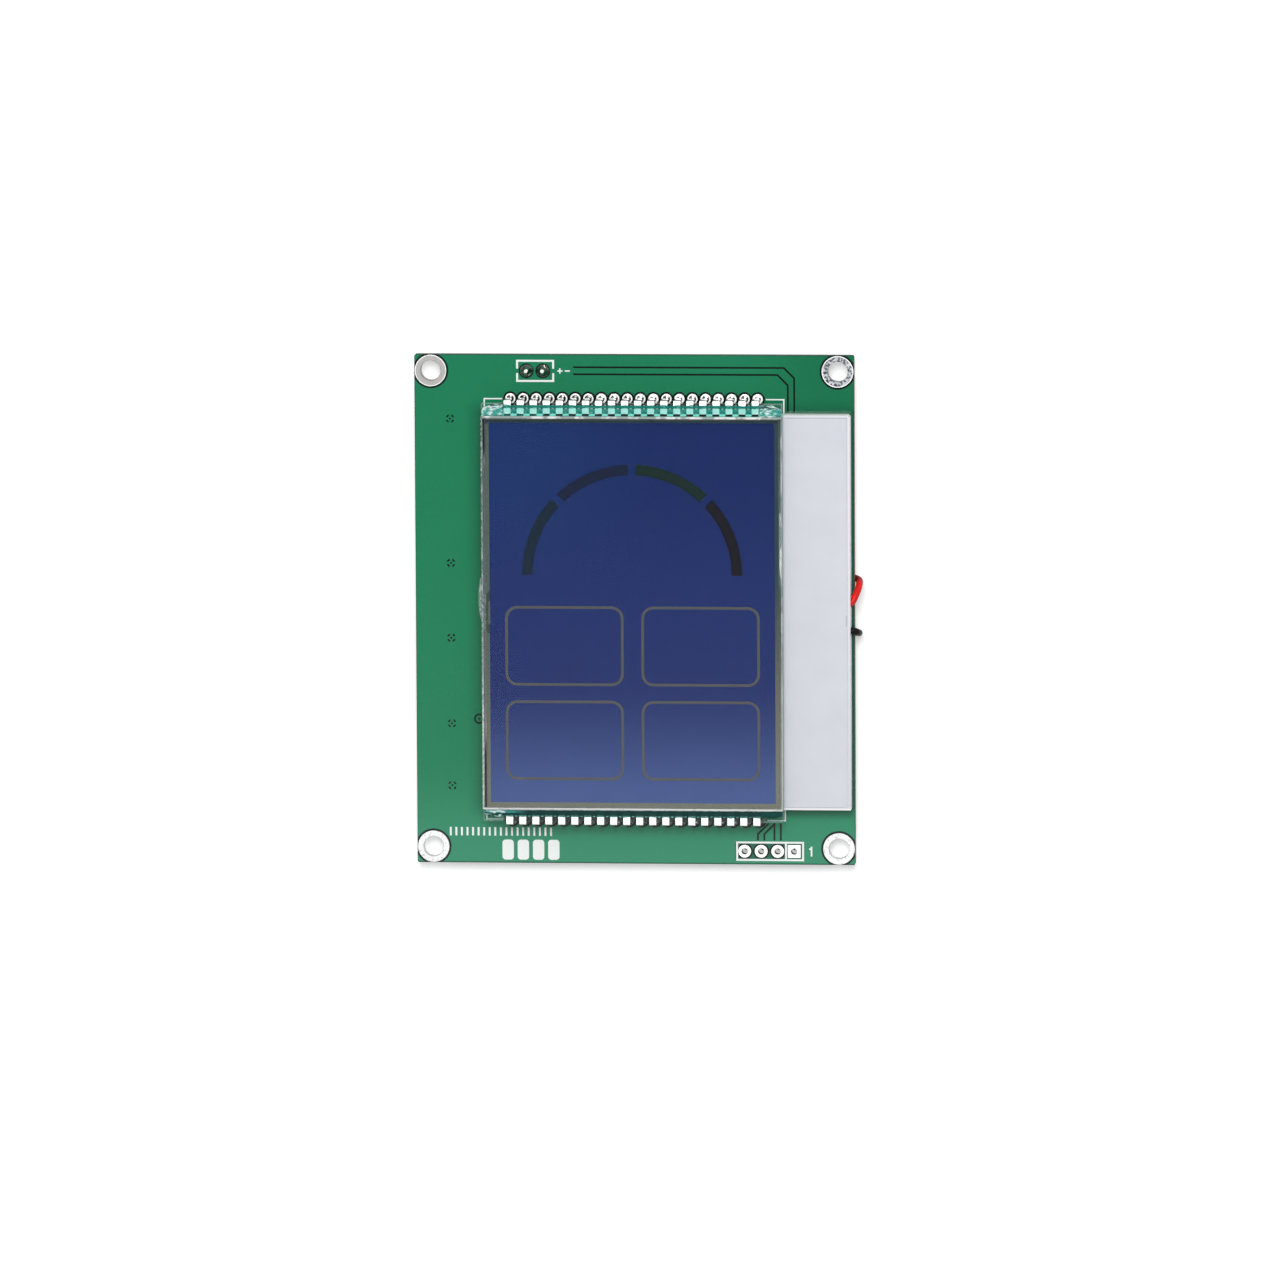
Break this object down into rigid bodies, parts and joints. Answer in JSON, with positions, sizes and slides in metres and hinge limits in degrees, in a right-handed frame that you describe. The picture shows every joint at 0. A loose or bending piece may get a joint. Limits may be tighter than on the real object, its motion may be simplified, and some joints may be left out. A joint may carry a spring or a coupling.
{
  "type": "segment lcd display module",
  "caption": "Blue segment LCD on a green circuit board with clip-on pins, white edge-lit backlight, two leads, corner screw holes and an open header place.",
  "frame": {"origin": "centre of the four corner screw holes, on the board's back face", "axes": "+Z out of the display's front, +Y towards the display's top edge, +X to the display's right"},
  "size_m": [0.0693, 0.0786, 0.0094],
  "materials": {
    "board_laminate": "gloss green mask",
    "tinned_copper": "satin",
    "solder": "satin",
    "pin_metal": "bright",
    "bare_conductor": "tinned",
    "white_print": "matt",
    "pin_resin": "clear, faintly blue-green",
    "clear_glue": "clear",
    "cell_glass": "polished",
    "polarizer": "gloss film",
    "seal_epoxy": "matt",
    "liquid_crystal": "deep blue",
    "segment_teal": "dark teal",
    "segment_slate": "slate",
    "segment_green": "dark green",
    "segment_brown": "near black",
    "outline_grey": "warm grey",
    "tape": "matt",
    "tray_plastic": "satin white",
    "reflector_white": "matt",
    "guide_acrylic": "clear",
    "diffuser_white": "frosted",
    "cover_white": "satin white",
    "strip_laminate": "white mask",
    "led_white": "white",
    "led_phosphor": "yellow",
    "red_insulation": "satin red",
    "black_insulation": "satin black",
    "chip_epoxy": "matt black",
    "chip_lead_metal": "bright",
    "capacitor_tan": "ceramic, satin",
    "resistor_black": "ceramic, satin"
  },
  "bodies": {
    "root": {"circuit_board": "board_laminate", "corner_hole_rings": "tinned_copper", "header_hole_rings": "tinned_copper", "lead_hole_rings": "tinned_copper", "top_pin_hole_rings": "tinned_copper", "bottom_pin_hole_rings": "tinned_copper", "top_row_solder": "solder", "bottom_row_solder": "solder", "strip_solder": "solder", "lead_solder": "solder", "top_row_pins": "pin_metal", "bottom_row_pins": "pin_metal", "lead_conductors": "bare_conductor", "board_legend": "white_print", "top_pin_resin": "pin_resin", "bottom_pin_resin": "pin_resin", "end_seal": "clear_glue", "rear_glass": "cell_glass", "front_glass": "cell_glass", "rear_polarizer": "polarizer", "front_polarizer": "polarizer", "perimeter_seal": "seal_epoxy", "liquid_crystal_layer": "liquid_crystal", "gauge_segment_left": "segment_teal", "gauge_segment_upper_left": "segment_slate", "gauge_segment_upper_right": "segment_green", "gauge_segment_right": "segment_brown", "window_outlines": "outline_grey", "backlight_tapes": "tape", "backlight_tray": "tray_plastic", "backlight_reflector": "reflector_white", "light_guide": "guide_acrylic", "diffuser_film": "diffuser_white", "led_cover_film": "cover_white", "led_strip_board": "strip_laminate", "led_bodies": "led_white", "led_windows": "led_phosphor", "red_lead": "red_insulation", "black_lead": "black_insulation", "driver_chip": "chip_epoxy", "driver_chip_leads": "chip_lead_metal", "capacitor_ends": "chip_lead_metal", "resistor_ends": "chip_lead_metal", "capacitor_bodies": "capacitor_tan", "resistor_bodies": "resistor_black"}
  },
  "joints": []
}
